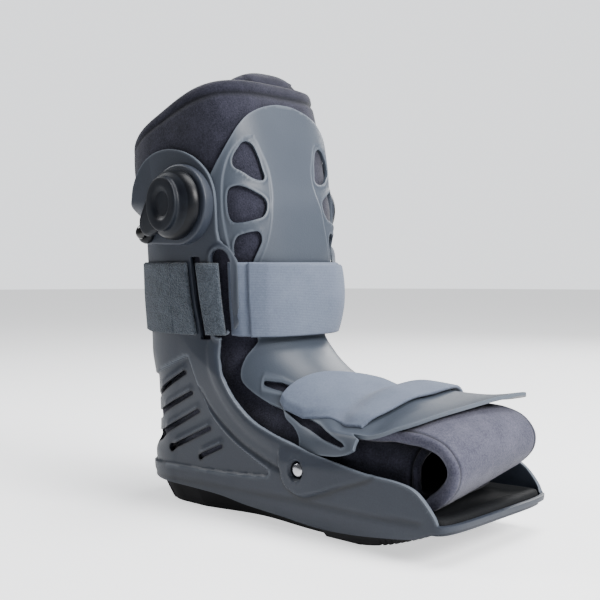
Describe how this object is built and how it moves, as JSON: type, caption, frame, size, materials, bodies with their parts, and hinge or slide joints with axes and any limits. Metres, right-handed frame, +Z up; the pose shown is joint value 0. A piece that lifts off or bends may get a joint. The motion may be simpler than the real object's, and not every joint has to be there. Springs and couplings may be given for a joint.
{
  "type": "medical walking boot",
  "caption": "Short orthopaedic walking boot: padded liner in a moulded rear shell with a flexible front plate, straps, side pump dials and a rubber rocker sole.",
  "frame": {"origin": "on the ground under the middle of the sole, where the flat of the outsole rests", "axes": "+X towards the toes, +Y to the wearer's left, +Z up"},
  "size_m": [0.2985, 0.1636, 0.3044],
  "materials": {
    "outsole_rubber": "matt black rubber",
    "shell_plastic": "satin moulded plastic, slate grey",
    "plate_plastic": "satin flexible plastic, lighter blue grey",
    "liner_padding": "heather brushed knit over foam, charcoal",
    "footbed_foam": "matt black foam",
    "strap_pile": "fuzzy loop pile, grey",
    "strap_webbing": "smooth woven strap, light blue grey",
    "dial_plastic": "semi-gloss near black",
    "valve_plastic": "high gloss black",
    "rivet_steel": "polished steel"
  },
  "bodies": {
    "boot": {"outsole": "outsole_rubber", "rear_shell": "shell_plastic", "footbed": "footbed_foam", "liner": "liner_padding", "liner_flap": "liner_padding", "toe_flap": "liner_padding", "front_plate": "plate_plastic", "rear_strap": "strap_pile", "strap_wrap_left": "strap_pile", "strap_wrap_right": "strap_pile", "front_strap": "strap_webbing", "strap_tab": "strap_webbing", "forefoot_strap": "strap_webbing", "valve_base_left": "dial_plastic", "valve_base_right": "dial_plastic", "valve_button_left": "valve_plastic", "valve_button_right": "valve_plastic", "rivet_left": "rivet_steel", "rivet_right": "rivet_steel"},
    "left_dial": {"dial_knob_left": "dial_plastic"},
    "right_dial": {"dial_knob_right": "dial_plastic"}
  },
  "joints": [
    {"name": "left_dial_turn", "type": "hinge", "parent": "boot", "child": "left_dial", "pos_m": [-0.073, 0.07, 0.208], "axis": [0, 1, 0], "range_deg": [-90, 90]},
    {"name": "right_dial_turn", "type": "hinge", "parent": "boot", "child": "right_dial", "pos_m": [-0.073, -0.07, 0.208], "axis": [0, 1, 0], "range_deg": [-90, 90]}
  ]
}
